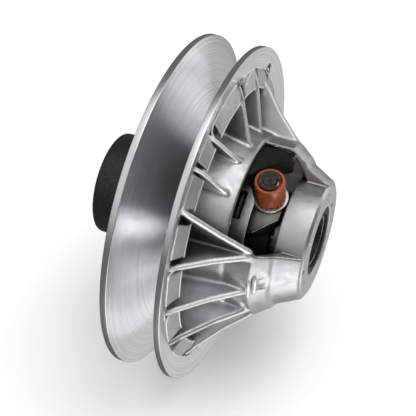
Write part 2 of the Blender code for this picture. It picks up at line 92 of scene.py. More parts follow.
def new_object(name, mesh, material, body, nodes=(), sharp=30.0):
    mesh.materials.append(material)
    mesh.shade_smooth()
    mesh.set_sharp_from_angle(angle=math.radians(sharp))
    item = bpy.data.objects.new(name, mesh)
    bpy.context.scene.collection.objects.link(item)
    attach(item, body)
    if nodes:
        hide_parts(*nodes)
    return item


def mesh_from_arrays(name, points, quads):
    """A mesh of quads from arrays; points are in metres in the row frame."""
    mesh = bpy.data.meshes.new(name)
    mesh.vertices.add(len(points))
    mesh.vertices.foreach_set("co", np.asarray(points, np.float32).ravel())
    mesh.loops.add(4 * len(quads))
    mesh.loops.foreach_set("vertex_index", np.asarray(quads, np.int32).ravel())
    mesh.polygons.add(len(quads))
    mesh.polygons.foreach_set("loop_start", np.arange(0, 4 * len(quads), 4, dtype=np.int32))
    mesh.polygons.foreach_set("loop_total", np.full(len(quads), 4, np.int32))
    mesh.update(calc_edges=True)
    mesh.validate()
    return mesh


def rounded(outline, segments=4):
    """Rounds the corners of a closed outline; a point is (radius, station) or adds its corner radius."""
    result = []
    count = len(outline)
    for index, corner in enumerate(outline):
        here = Vector(corner[:2])
        size = corner[2] if len(corner) > 2 else 0.0
        if size <= 0.0:
            result.append(tuple(here))
            continue
        before = Vector(outline[index - 1][:2]) - here
        after = Vector(outline[(index + 1) % count][:2]) - here
        reach = min(before.length, after.length) * 0.49
        turn = before.angle(after)
        cut = min(size / max(math.tan(turn / 2), 1e-3), reach)
        first = here + before.normalized() * cut
        last = here + after.normalized() * cut
        for step in range(segments + 1):
            share = step / segments
            point = first * (1 - share) ** 2 + here * 2 * share * (1 - share) + last * share ** 2
            result.append(tuple(point))
    return result


def bridge(shape, rings):
    """Fills each ring of points to the next one with quads."""
    for here, there in zip(rings, rings[1:]):
        for index in range(len(here)):
            after = (index + 1) % len(here)
            shape.faces.new((here[index], here[after], there[after], there[index]))


def bridge_open(shape, rings):
    """Bridges the rings of a swept tube and caps both of its ends."""
    bridge(shape, rings)
    shape.faces.new(rings[0])
    shape.faces.new(rings[-1])


def mesh_of(shape, name):
    """Stores the shape as a mesh and frees it."""
    mesh = bpy.data.meshes.new(name)
    shape.to_mesh(mesh)
    shape.free()
    return mesh


def outward_mesh(shape, name):
    bmesh.ops.recalc_face_normals(shape, faces=shape.faces)
    return mesh_of(shape, name)


def turned_mesh(name, outline, steps):
    """Revolves a closed (radius, station) outline about the turning axis."""
    shape = bmesh.new()
    rings = []
    for step in range(steps):
        angle = 360.0 * step / steps
        rings.append([shape.verts.new(polar(radius, angle, station)) for radius, station in outline])
    bridge(shape, rings + rings[:1])
    return outward_mesh(shape, name)


def spun_mesh(name, outline, angle, steps=96):
    """A piece turned about an axis that points outward at the angle; outline is (radius, distance out)."""
    outward = polar(1.0, angle, 0.0).normalized()
    up = Vector((0.0, -1.0, 0.0))
    across = outward.cross(up)
    centre = up * ROLLER_STATION * MM
    shape = bmesh.new()
    rings = []
    for step in range(steps):
        turn = 2 * math.pi * step / steps
        arm = across * math.cos(turn) + up * math.sin(turn)
        ring = []
        for radius, reach in outline:
            ring.append(shape.verts.new(centre + (outward * reach + arm * radius) * MM))
        rings.append(ring)
    bridge(shape, rings + rings[:1])
    bmesh.ops.remove_doubles(shape, verts=shape.verts, dist=1e-7)
    return outward_mesh(shape, name)


# ---- solid fields on a grid: negative inside, positive outside, in millimetres ----
class Grid:
    """Sample points (x, z, station). The field is filled for z > 0, and the other half is the same
    turned by half a turn."""

    def __init__(self, reach, low, high, step):
        half = int(math.ceil(reach / step))
        self.step = step
        self.low = low
        side = (np.arange(-half, half) + 0.5) * step
        deep = (np.arange(0, half) + 0.5) * step
        self.x = side[:, None, None].astype(np.float32)
        self.z = deep[None, :, None].astype(np.float32)
        levels = int(math.ceil((high - low) / step)) + 1
        self.s = (low + np.arange(levels) * step)[None, None, :].astype(np.float32)
        self.r = np.sqrt(self.x ** 2 + self.z ** 2)
        self.origin = np.array([side[0], side[0], low])

    def turned(self, outline):
        """Distance to a solid of revolution, looked up from its outline's own distance."""
        fine = 0.1
        radii = np.arange(0.0, float(self.r.max()) + 1.0, fine)
        flat = outline_distance(outline, radii[:, None], self.s[0, 0][None, :]).astype(np.float32)
        place = self.r[:, :, 0] / fine
        index = place.astype(int)
        share = (place - index).astype(np.float32)[:, :, None]
        return flat[index] * (1 - share) + flat[index + 1] * share

    def sector(self, start, end):
        """Distance to a wedge between two angles less than half a turn apart."""
        first = np.array([math.sin(math.radians(start)), -math.cos(math.radians(start))])
        last = np.array([-math.sin(math.radians(end)), math.cos(math.radians(end))])
        return np.maximum(self.x * first[0] + self.z * first[1], self.x * last[0] + self.z * last[1])

    def turn_to(self, angle):
        """Distances along and across the direction that points outward at the angle."""
        turn = math.radians(angle)
        return (self.x * math.cos(turn) + self.z * math.sin(turn),
                self.z * math.cos(turn) - self.x * math.sin(turn))

    def mesh(self, field, name):
        whole = np.concatenate([field[::-1, ::-1], field], axis=1)
        return surface_of(whole, self.origin, self.step, name)


def outline_distance(outline, r, s):
    """Signed distance from points (r, s) to a closed outline."""
    nearest = np.full(np.broadcast(r, s).shape, 1e9)
    inside = np.zeros(nearest.shape, bool)
    for (r0, s0), (r1, s1) in zip(outline, list(outline[1:]) + [outline[0]]):
        dr, ds = r1 - r0, s1 - s0
        length = dr * dr + ds * ds
        if length == 0.0:
            continue
        share = np.clip(((r - r0) * dr + (s - s0) * ds) / length, 0.0, 1.0)
        nearest = np.minimum(nearest, (r - r0 - share * dr) ** 2 + (s - s0 - share * ds) ** 2)
        if ds != 0.0:
            crosses = (s0 <= s) != (s1 <= s)
            inside ^= crosses & (r < r0 + (s - s0) / ds * dr)
    return np.where(inside, -1.0, 1.0) * np.sqrt(nearest)


def join(first, second, fillet):
    """Union with a filleted join."""
    blend = np.maximum(fillet - np.abs(first - second), 0.0) / fillet
    return np.minimum(first, second) - blend * blend * fillet / 4


def cut(first, second, edge):
    """First without second, its new edge rounded."""
    return -join(-first, second, edge)


def meet(first, second, radius):
    """Intersection with its outer edge rounded."""
    a = np.maximum(first + radius, 0.0)
    b = np.maximum(second + radius, 0.0)
    return np.sqrt(a * a + b * b) + np.minimum(np.maximum(first, second) + radius, 0.0) - radius


def surface_of(field, origin, step, name):
    """Surface of a field where it passes zero: one point in each cell that the surface crosses."""
    inside = field < 0.0
    corners = [(i, j, k) for i in (0, 1) for j in (0, 1) for k in (0, 1)]
    nx, ny, nz = (size - 1 for size in field.shape)
    total = np.zeros((nx, ny, nz), np.int8)
    for i, j, k in corners:
        total += inside[i:i + nx, j:j + ny, k:k + nz]
    cells = np.argwhere((total > 0) & (total < 8))
    spread = np.zeros((len(cells), 3))
    found = np.zeros(len(cells))
    for a in corners:
        for axis in range(3):
            if a[axis]:
                continue
            b = tuple(1 if n == axis else a[n] for n in range(3))
            va = field[cells[:, 0] + a[0], cells[:, 1] + a[1], cells[:, 2] + a[2]]
            vb = field[cells[:, 0] + b[0], cells[:, 1] + b[1], cells[:, 2] + b[2]]
            crosses = (va < 0.0) != (vb < 0.0)
            share = va[crosses] / (va[crosses] - vb[crosses])
            spot = np.tile(np.array(a, float), (len(share), 1))
            spot[:, axis] += share
            spread[crosses] += spot
            found += crosses
    at = origin + (cells + spread / found[:, None]) * step
    number = np.full((nx, ny, nz), -1, np.int32)
    number[tuple(cells.T)] = np.arange(len(cells))
    quads = []
    for axis in range(3):
        one, two = [n for n in range(3) if n != axis]
        low = [slice(1, -1)] * 3
        high = [slice(1, -1)] * 3
        low[axis], high[axis] = slice(0, -1), slice(1, None)
        here, there = inside[tuple(low)], inside[tuple(high)]
        for way, changes in ((0, here & ~there), (1, there & ~here)):
            edge = np.argwhere(changes)
            edge[:, one] += 1
            edge[:, two] += 1
            ring = []
            for shift_one, shift_two in ((0, 0), (1, 0), (1, 1), (0, 1)):
                cell = edge.copy()
                cell[:, one] -= shift_one
                cell[:, two] -= shift_two
                ring.append(number[tuple(cell.T)])
            ring = np.stack(ring, axis=1)
            if way ^ (axis == 1):
                ring = ring[:, ::-1]
            quads.append(ring)
    quads = np.concatenate(quads)[:, ::-1]
    points = np.stack([at[:, 0], -at[:, 2], at[:, 1]], axis=1) * MM
    return mesh_from_arrays(name, points, quads)


def thin(item, faces):
    """Decimates a dense casting to about that many triangles."""
    dense = 2 * len(item.data.polygons)
    if dense > faces:
        modifier = item.modifiers.new("thin", "DECIMATE")
        modifier.ratio = faces / dense


# ---- materials ----
class Look:
    """A Principled material with a short way to add procedural nodes."""

    def __init__(self, name, colour, metallic, roughness, **numbers):
        self.material = bpy.data.materials.new(name)
        self.material.use_nodes = True
        self.tree = self.material.node_tree
        self.shader = self.tree.nodes["Principled BSDF"]
        self.shader.inputs["Base Color"].default_value = (*colour, 1.0)
        self.shader.inputs["Metallic"].default_value = metallic
        self.shader.inputs["Roughness"].default_value = roughness
        for socket, value in numbers.items():
            self.shader.inputs[socket.replace("_", " ")].default_value = value
        self.place = self.add("ShaderNodeTexCoord").outputs["Object"]
        self.normal = None

    def add(self, kind, **settings):
        node = self.tree.nodes.new(kind)
        for key, value in settings.items():
            setattr(node, key, value)
        return node

    def feed(self, socket, value):
        if isinstance(value, bpy.types.NodeSocket):
            self.tree.links.new(value, socket)
        else:
            socket.default_value = value

    def maths(self, operation, first, second=0.0):
        node = self.add("ShaderNodeMath", operation=operation)
        self.feed(node.inputs[0], first)
        self.feed(node.inputs[1], second)
        return node.outputs[0]

    def noise(self, size, detail=3.0, rough=0.5, distortion=0.0):
        """Noise whose features are about size millimetres across."""
        node = self.add("ShaderNodeTexNoise")
        self.feed(node.inputs["Vector"], self.place)
        node.inputs["Scale"].default_value = 1.0 / (size * MM)
        node.inputs["Detail"].default_value = detail
        node.inputs["Roughness"].default_value = rough
        node.inputs["Distortion"].default_value = distortion
        return node.outputs["Fac"]

    def radius(self):
        """Distance from the turning axis, in metres."""
        parts = self.add("ShaderNodeSeparateXYZ")
        self.feed(parts.inputs[0], self.place)
        square = self.maths("ADD", self.maths("MULTIPLY", parts.outputs["X"], parts.outputs["X"]),
                            self.maths("MULTIPLY", parts.outputs["Z"], parts.outputs["Z"]))
        return self.maths("SQRT", square)

    def rings(self, size):
        """Noise that only changes with the distance from the axis, as a lathe leaves it."""
        line = self.add("ShaderNodeTexNoise", noise_dimensions="1D")
        self.feed(line.inputs["W"], self.radius())
        line.inputs["Scale"].default_value = 1.0 / (size * MM)
        line.inputs["Detail"].default_value = 2.0
        return line.outputs["Fac"]

    def ramp(self, value, *stops):
        """A colour ramp; each stop is (position, colour or grey)."""
        node = self.add("ShaderNodeValToRGB")
        self.feed(node.inputs["Fac"], value)
        elements = node.color_ramp.elements
        while len(elements) < len(stops):
            elements.new(1.0)
        for element, (position, colour) in zip(elements, stops):
            element.position = position
            element.color = (*colour, 1.0) if isinstance(colour, tuple) else (colour, colour, colour, 1.0)
        return node.outputs["Color"]

    def mix(self, share, first, second, blend="MIX"):
        node = self.add("ShaderNodeMix", data_type="RGBA", blend_type=blend)
        self.feed(node.inputs["Factor"], share)
        self.feed(node.inputs["A"], first)
        self.feed(node.inputs["B"], second)
        return node.outputs["Result"]

    def remap(self, value, low, high, to_low=0.0, to_high=1.0):
        node = self.add("ShaderNodeMapRange")
        self.feed(node.inputs["Value"], value)
        numbers = {"From Min": low, "From Max": high, "To Min": to_low, "To Max": to_high}
        for socket, number in numbers.items():
            node.inputs[socket].default_value = number
        return node.outputs["Result"]

    def span(self, value, low, high):
        """Spreads the middle of a noise over low to high."""
        return self.remap(value, 0.3, 0.7, low, high)

    def colour(self, value):
        self.feed(self.shader.inputs["Base Color"], value)

    def roughness(self, value):
        self.feed(self.shader.inputs["Roughness"], value)

    def bump(self, height, depth):
        """Adds a bump of that depth in millimetres."""
        node = self.add("ShaderNodeBump")
        node.inputs["Strength"].default_value = 1.0
        node.inputs["Distance"].default_value = depth * MM
        self.feed(node.inputs["Height"], height)
        if self.normal is not None:
            self.feed(node.inputs["Normal"], self.normal)
        self.normal = node.outputs["Normal"]
        self.feed(self.shader.inputs["Normal"], self.normal)

    def open_air(self, reach, low, high):
        """Falls from 1 in the open to 0 deep inside, over reach millimetres."""
        node = self.add("ShaderNodeAmbientOcclusion", samples=6)
        node.inputs["Distance"].default_value = reach * MM
        return self.remap(node.outputs["AO"], low, high)

    def edges(self, low, high):
        """Rises from 0 in hollows to 1 on sharp edges."""
        node = self.add("ShaderNodeNewGeometry")
        return self.remap(node.outputs["Pointiness"], low, high)


def cast_look():
    look = Look("cast_aluminium", (0.6, 0.61, 0.62), 1.0, 0.4)
    edge = look.edges(0.44, 0.56)
    body = look.ramp(look.noise(14.0, 5.0), (0.3, (0.46, 0.465, 0.47)), (0.7, (0.6, 0.605, 0.61)))
    # Sharp edges lighter, partly wear and partly painted highlight; hollows darker, painted shade.
    wear_and_painted_light = look.mix(edge, look.mix(0.55, body, (0.2, 0.205, 0.21, 1.0)), (0.86, 0.86, 0.87, 1.0))
    # Deep in pockets the colour is multiplied darker by ambient occlusion: painted shade.
    painted_shade = look.mix(1.0, body, (0.22, 0.22, 0.22, 1.0), "MULTIPLY")
    look.colour(look.mix(look.open_air(22.0, 0.25, 0.75), painted_shade, look.mix(0.6, body, wear_and_painted_light)))
    look.roughness(look.span(look.noise(5.0, 4.0), 0.3, 0.5))
    look.bump(look.noise(0.7, 3.0), 0.05)
    look.bump(look.noise(6.0, 2.0), 0.12)
    return look.material


def machined_look():
    look = Look("machined_aluminium", (0.78, 0.78, 0.79), 1.0, 0.22, Anisotropic=0.75,
                Anisotropic_Rotation=0.25)
    tangent = look.add("ShaderNodeTangent", direction_type="RADIAL", axis="Y")
    look.feed(look.shader.inputs["Tangent"], tangent.outputs["Tangent"])
    look.colour(look.ramp(look.rings(1.6), (0.3, (0.72, 0.72, 0.73)), (0.7, (0.82, 0.82, 0.83))))
    look.roughness(look.span(look.rings(6.0), 0.23, 0.26))
    look.bump(look.rings(0.35), 0.003)
    return look.material


def edge_look():
    """Crests that fettling and handling have polished, in a lighter colour that is also painted highlight."""
    look = Look("polished_and_highlit_edges", (0.88, 0.88, 0.88), 1.0, 0.5)
    look.colour(look.ramp(look.noise(2.5, 4.0), (0.3, (0.8, 0.8, 0.8)), (0.65, (0.95, 0.95, 0.95))))
    look.roughness(look.span(look.noise(1.6, 3.0), 0.44, 0.58))
    look.bump(look.noise(0.8, 3.0), 0.04)
    return look.material


def black_look():
    look = Look("black_steel", (0.02, 0.02, 0.022), 0.4, 0.5)
    grain = look.noise(1.3, 4.0, rough=0.6)
    look.colour(look.ramp(grain, (0.35, (0.012, 0.012, 0.014)), (0.75, (0.035, 0.035, 0.038))))
    look.roughness(look.span(look.noise(3.0, 3.0), 0.3, 0.48))
    look.bump(grain, 0.05)
    return look.material


def steel_look():
    look = Look("bright_steel", (0.62, 0.62, 0.62), 1.0, 0.25)
    look.colour(look.ramp(look.noise(4.0, 4.0), (0.3, (0.52, 0.52, 0.52)), (0.7, (0.7, 0.7, 0.69))))
    look.roughness(look.span(look.noise(1.5, 3.0), 0.18, 0.36))
    look.bump(look.noise(0.25, 2.0), 0.01)
    return look.material


def spider_look():
    look = Look("spider_casting", (0.4, 0.4, 0.35), 0.85, 0.5)
    grain = look.noise(0.8, 5.0, rough=0.7)
    base = look.ramp(look.noise(7.0, 4.0), (0.3, (0.3, 0.3, 0.26)), (0.7, (0.44, 0.44, 0.39)))
    speckled = look.mix(look.span(grain, 0.0, 0.45), base, (0.2, 0.2, 0.17, 1.0))
    # Deep inside, the colour falls to near black: painted shade.
    look.colour(look.mix(look.open_air(30.0, 0.42, 0.75), (0.012, 0.012, 0.01, 1.0), speckled))
    look.roughness(look.span(grain, 0.38, 0.62))
    look.bump(grain, 0.06)
    return look.material


def spring_look():
    look = Look("spring_steel", (0.1, 0.1, 0.105), 0.8, 0.4)
    look.colour(look.ramp(look.noise(2.5, 4.0), (0.3, (0.02, 0.02, 0.021)), (0.7, (0.075, 0.07, 0.066))))
    look.roughness(look.span(look.noise(1.2, 3.0), 0.3, 0.5))
    look.bump(look.noise(0.5, 2.0), 0.02)
    return look.material


def roller_look():
    look = Look("roller_plastic", (0.4, 0.1, 0.03), 0.0, 0.36, Coat_Weight=0.15)
    fibre = look.noise(1.6, 5.0, rough=0.65, distortion=0.6)
    look.colour(look.ramp(fibre, (0.25, (0.13, 0.024, 0.007)), (0.55, (0.31, 0.06, 0.015)),
                          (0.8, (0.44, 0.11, 0.03))))
    look.roughness(look.span(look.noise(2.2, 3.0), 0.28, 0.48))
    look.bump(look.noise(0.4, 3.0), 0.02)
    return look.material


def ramp_look():
    look = Look("ramp_plastic", (0.006, 0.006, 0.007), 0.0, 0.5, Specular_IOR_Level=0.25)
    grain = look.noise(0.6, 3.0)
    look.colour(look.ramp(look.noise(5.0, 3.0), (0.3, (0.003, 0.003, 0.003)), (0.7, (0.01, 0.01, 0.011))))
    look.roughness(look.span(grain, 0.42, 0.6))
    look.bump(grain, 0.02)
    return look.material


def bronze_look():
    look = Look("bronze", (0.5, 0.36, 0.18), 1.0, 0.35)
    look.colour(look.ramp(look.noise(3.0, 4.0), (0.3, (0.36, 0.25, 0.12)), (0.7, (0.58, 0.43, 0.22))))
    look.roughness(look.span(look.noise(1.0, 3.0), 0.28, 0.45))
    look.bump(look.noise(0.3, 2.0), 0.015)
    return look.material


def floor_look():
    look = Look("studio_floor", (0.97, 0.97, 0.97), 0.0, 0.7)
    look.colour(look.ramp(look.noise(400.0, 2.0), (0.3, 0.96), (0.7, 0.98)))
    return look.material


LOOKS = {
    "cast_aluminium": cast_look(),
    "machined_aluminium": machined_look(),
    "polished_and_highlit_edges": edge_look(),
    "black_steel": black_look(),
    "bright_steel": steel_look(),
    "spider_casting": spider_look(),
    "spring_steel": spring_look(),
    "roller_plastic": roller_look(),
    "ramp_plastic": ramp_look(),
    "bronze": bronze_look(),
}


def belt_face(rim_station, radius, way):
    return rim_station + way * (SHEAVE_R - radius) * FACE_SLOPE


def sliding_face(radius):
    return belt_face(SLIDING_RIM[0], radius, -1)


def fixed_face(radius):
    return belt_face(FIXED_RIM[1], radius, 1)


# ---- fixed half ----
def make_fixed_sheave():
    rear, front = FIXED_RIM
    shell = front - rear
    outline = rounded([
        (SHEAVE_R, front, 0.5), (SHEAVE_R, rear, 0.5),
        (112.0, fixed_face(112.0) - shell), (85.0, fixed_face(85.0) - shell),
        (57.0, fixed_face(57.0) - shell, 3.0), (54.0, 58.0, 1.0), (54.0, 42.0, 1.5), (19.3, 42.0, 0.4),
        (19.3, 49.5), (49.3, 49.5, 1.8), (49.3, 69.0, 0.6), (50.5, fixed_face(50.5), 0.4),
        (70.0, fixed_face(70.0)), (90.0, fixed_face(90.0)), (108.0, fixed_face(108.0)),
    ])
    new_object("fixed_sheave_disc", turned_mesh("fixed_sheave_disc", outline, 256),
               LOOKS["machined_aluminium"], "fixed_half", ["fixed_sheave"])


def make_back_ribs():
    """Twelve filleted stiffening ribs behind the fixed sheave's plate."""
    step = 0.9
    grid = Grid(114.0, 43.0, 66.0, step)
    shell = FIXED_RIM[1] - FIXED_RIM[0]
    plate = grid.turned([(52.0, 64.5), (52.0, 43.5), (54.0, 43.5), (54.05, 60.0),
                         (57.0, fixed_face(57.0) - shell - 0.05), (113.0, fixed_face(113.0) - shell - 0.05),
                         (113.0, fixed_face(113.0) - 1.5), (57.0, fixed_face(57.0) - 1.5)])
    field = plate + 0.4
    floor = fixed_face(grid.r) - shell
    for index in range(-1, 8):
        along, across = grid.turn_to(30.0 * index)
        across = np.abs(across)
        crest = 45.5 + np.maximum(along - 56.0, 0.0) * 0.006
        top = crest - grid.s
        side = across - 1.4 - (grid.s - crest) * 0.04
        ends = np.maximum(52.5 - along, along - 111.0)
        rib = meet(meet(side, np.maximum(top, grid.s - floor - 2.5), 1.0), ends, 1.0)
        field = join(field, rib, 3.0)
    item = new_object("fixed_sheave_ribs", grid.mesh(field, "fixed_sheave_ribs"), LOOKS["cast_aluminium"],
                      "fixed_half", ["fixed_sheave"], sharp=60.0)
    thin(item, 120000)


def make_rear_hub():
    outline = rounded([(19.3, 0.0, 1.0), (37.0, 0.0, 3.2), (37.0, 41.7, 0.5), (19.3, 41.7)], 6)
    new_object("rear_hub_turned", turned_mesh("rear_hub_turned", outline, 160), LOOKS["black_steel"],
               "fixed_half", ["rear_hub"], sharp=40.0)


def make_post():
    """The post is a tube whose bore carries straight splines."""
    teeth = 18
    outer = rounded([(16.5, 130.0), (16.5, 154.0, 0.5), (19.0, 154.0, 0.9), (19.0, 0.5, 1.0),
                     (13.6, 0.5, 0.6)])
    shape = bmesh.new()
    steps = teeth * 12
    rows = []
    for step in range(steps):
        angle = 360.0 * step / steps
        phase = abs((angle * teeth / 360.0) % 1.0 - 0.5) * 2
        lift = min(max((phase - 0.36) / 0.2, 0.0), 1.0)
        bore = 13.6 - 1.65 * (1 - lift)
        row = [shape.verts.new(polar(radius, angle, station)) for radius, station in outer]
        row += [shape.verts.new(polar(bore, angle, station)) for station in (1.3, 129.6)]
        row.append(shape.verts.new(polar(bore + 0.4, angle, 130.0)))
        rows.append(row)
    bridge(shape, rows + rows[:1])
    mesh = outward_mesh(shape, "hub_post_splined")
    new_object("hub_post_splined", mesh, LOOKS["bright_steel"], "fixed_half", ["hub_post"])
    # The bore's faces take the dark spring steel: painted shade inside the bore.
    mesh.materials.append(LOOKS["spring_steel"])
    bore_limit = 16.6
    for face in mesh.polygons:
        middle = face.center / MM
        if math.hypot(middle.x, middle.z) < bore_limit:
            face.material_index = 1


def make_spider():
    """A sintered hub with two broad arms whose flanks slant beside the ramps."""
    grid = Grid(38.5, 108.5, 134.5, 0.45)
    field = grid.turned(rounded([(19.4, 110.8), (25.0, 110.8, 1.0), (25.0, 127.0, 1.5), (19.4, 127.0)]))
    along, across = grid.turn_to(ROLLER_ANGLE)
    arm = grid.turned(rounded([(19.4, 110.8), (37.0, 110.8, 0.8), (37.0, 132.5, 0.9), (30.4, 132.5, 0.6),
                               (28.8, 129.0, 1.0), (19.4, 129.0)]))
    arm = meet(arm, grid.sector(84.0, 146.0), 0.8)
    flank = (across - 13.0) * 0.81 + (grid.s - 132.4) * 0.58
    arm = meet(meet(arm, flank, 0.8), along - 36.2, 0.5)
    field = join(field, arm, 2.0)
    bore = np.sqrt(across ** 2 + (grid.s - ROLLER_STATION) ** 2) - 4.8
    field = cut(field, np.maximum(bore, 24.0 - along), 0.4)
    item = new_object("spider_body", grid.mesh(field, "spider_body"), LOOKS["spider_casting"],
                      "fixed_half", ["spider"], sharp=50.0)
    thin(item, 90000)


def make_spring_cup():
    """A thin cup with a slot that shows the spring and a notch for each roller."""
    grid = Grid(47.0, 97.0, 117.0, 0.4)
    field = grid.turned(rounded([
        (19.6, 109.0), (42.4, 109.0, 0.5), (42.4, 99.8, 0.5), (45.0, 99.8, 0.5), (45.0, 114.6, 0.9),
        (42.4, 114.6, 0.7), (42.4, 110.4, 0.8), (19.6, 110.4),
    ]))
    along, across = grid.turn_to(ROLLER_ANGLE)
    outside = 42.0 - grid.r
    slope = (grid.s - 104.6) * 0.83 - (across + 6.2) * 0.56
    notch = meet(np.maximum(-slope, across - 8.4), np.maximum(104.8 - grid.s, -14.2 - across), 0.4)
    field = cut(field, np.maximum(np.maximum(notch, outside), -along), 0.5)
    slot_along, slot_across = grid.turn_to(121.0)
    slot = meet(np.abs(slot_across) - 9.9, np.abs(grid.s - 105.2) - 2.9, 1.4)
    field = cut(field, np.maximum(slot, 38.0 - slot_along), 0.5)
    relief = np.sqrt(across ** 2 + (grid.s - ROLLER_STATION) ** 2) - 11.1
    field = cut(field, np.maximum(relief, 30.0 - along), 0.4)
    item = new_object("spring_cup_wall", grid.mesh(field, "spring_cup_wall"), LOOKS["cast_aluminium"],
                      "fixed_half", ["spring_cup"], sharp=50.0)
    thin(item, 90000)


# ---- roller stack ----
def make_rollers():
    # outlines are (distance from the roller's axis, distance out from the turning axis, corner radius)
    tyre = rounded([(6.4, 38.7, 0.2), (10.2, 38.7, 0.9), (10.2, 56.6, 1.3), (8.3, 56.6, 0.3),
                    (7.8, 53.9, 0.5), (6.4, 53.9, 0.2)], 6)
    sleeve = rounded([(4.8, 38.9, 0.2), (6.25, 38.9, 0.2), (6.25, 55.6, 0.3), (4.8, 55.6, 0.3)])
    pin = rounded([(0.01, 24.0), (4.5, 24.0), (4.5, 56.5, 0.1), (3.8, 56.5, 0.1), (3.8, 57.4, 0.1),
                   (4.5, 57.4, 0.1), (4.2, 58.0, 0.3), (1.2, 58.0, 0.2), (0.9, 57.3, 0.2), (0.01, 57.2)])
    washer = rounded([(4.9, 36.5, 0.2), (12.2, 36.5, 0.4), (12.2, 38.2, 0.5), (4.9, 38.2, 0.2)])
    for index, body in enumerate(("roller_a", "roller_b")):
        number = index + 1
        angle = ROLLER_ANGLE + 180.0 * index
        for base, outline, slot, rides in (("roller_{}", tyre, "roller_plastic", body),
                                           ("roller_sleeve_{}", sleeve, "bronze", body),
                                           ("roller_pin_{}", pin, "spring_steel", "fixed_half"),
                                           ("roller_washer_{}", washer, "bright_steel", "fixed_half")):
            node = base.format(number)
            name = f"{node}_shown"
            new_object(name, spun_mesh(name, outline, angle), LOOKS[slot], rides, [node])


# ---- sliding half ----
class Rib:
    """A straight rib in plan, between two angles, whose crest follows (share of length, station) points."""

    def __init__(self, outer_angle, inner_angle, climbs):
        outer = polar(98.5, outer_angle, 0.0) / MM
        inner = polar(60.3, inner_angle, 0.0) / MM
        self.outer = np.array([outer.x, outer.z])
        way = np.array([inner.x, inner.z]) - self.outer
        self.length = float(np.hypot(*way))
        self.way = way / self.length
        self.climbs = climbs
        self.half_width = 1.95 if climbs else 1.5
        if climbs:
            self.crest = ((-0.2, 84.6), (-0.13, 86.6), (-0.07, 88.4), (0.02, 90.6), (0.1, 93.4),
                          (0.52, 107.4), (0.94, 124.6), (1.0, 126.6), (1.1, 127.2))
        else:
            self.crest = ((-0.2, 84.6), (-0.13, 86.6), (-0.07, 88.4), (0.02, 90.4), (0.1, 91.6),
                          (0.96, 101.6), (1.0, 101.9), (1.1, 101.9))

    def field(self, grid, box):
        x, z, s = grid.x[box[0]], grid.z[:, box[1]], grid.s[:, :, box[2]]
        dx, dz = x - self.outer[0], z - self.outer[1]
        along = dx * self.way[0] + dz * self.way[1]
        across = np.abs(dz * self.way[0] - dx * self.way[1])
        shares, stations = zip(*self.crest)
        crest = np.interp(along / self.length, shares, stations)
        side = across - self.half_width - np.maximum(crest - s, 0.0) * 0.028
        top = (s - crest) * (0.74 if self.climbs else 0.95)
        ends = np.maximum(-7.0 - along, along - self.length - 0.4)
        return meet(meet(side, top, 1.5), ends, 1.2)

    def box(self, grid):
        """The slices of the grid that the rib can touch."""
        inner = self.outer + self.way * self.length
        outer = self.outer - self.way * 8.0
        pad = 8.0
        spans = []
        for axis, line in ((0, grid.x[:, 0, 0]), (1, grid.z[0, :, 0])):
            low, high = sorted((inner[axis], outer[axis]))
            first, last = np.searchsorted(line, low - pad), np.searchsorted(line, high + pad)
            spans.append(slice(int(first), int(last)))
        return (*spans, slice(0, grid.s.shape[2]))


LEG_RIBS = ((136.5, 151.5), (157.0, 154.2), (177.0, 180.5), (197.5, 205.0), (227.0, 230.0))
SHORT_RIBS = ((60.0, 61.0), (79.0, 83.0), (107.0, 97.5), (120.5, 120.5))
ALL_RIBS = [(outer, inner, True) for outer, inner in LEG_RIBS]
ALL_RIBS += [(outer, inner, False) for outer, inner in SHORT_RIBS]
LEG_SPAN = (153.0, 250.0)


def add_ribs(grid, field):
    """Joins every rib that reaches the grid's half, with the turned copies that cross into it."""
    for outer, inner, climbs in ALL_RIBS:
        for turn in (-180.0, 0.0, 180.0):
            middle = (outer + turn + 360.0) % 360.0
            if 200.0 < middle < 340.0:
                continue
            rib = Rib(outer + turn, inner + turn, climbs)
            box = rib.box(grid)
            region = field[box]
            if region.size:
                field[box] = join(region, rib.field(grid, box), 2.4)
    return field


# free angle before and after each rib, where the ring wall leaves a pocket
RIB_GAPS = {17.5: (3.9, 5.0), 47.0: (3.9, 2.0), 60.0: (2.6, 1.6), 79.0: (3.4, 1.4), 107.0: (4.9, 1.6),
            120.5: (2.4, 2.0), 136.5: (1.9, 4.0), 157.0: (3.6, 2.0), 177.0: (4.6, 1.8)}


def facet_spans():
    """Angles between neighbouring ribs that the ring wall fills."""
    angles = sorted(RIB_GAPS)
    following = angles[1:] + [angles[0] + 180.0]
    return [(first + RIB_GAPS[first][1], last - RIB_GAPS[last % 180.0][0])
            for first, last in zip(angles, following)]


BALANCE_HOLE = (105.0, 41.4, 6.2)  # radius, angle and size of the hole
BALANCE_FLOOR = 84.6
FIN_START, FIN_SWEEP = 64.5, 14.0
FACE_SKIN = 1.0  # the casting stays this far inside the machined belt face


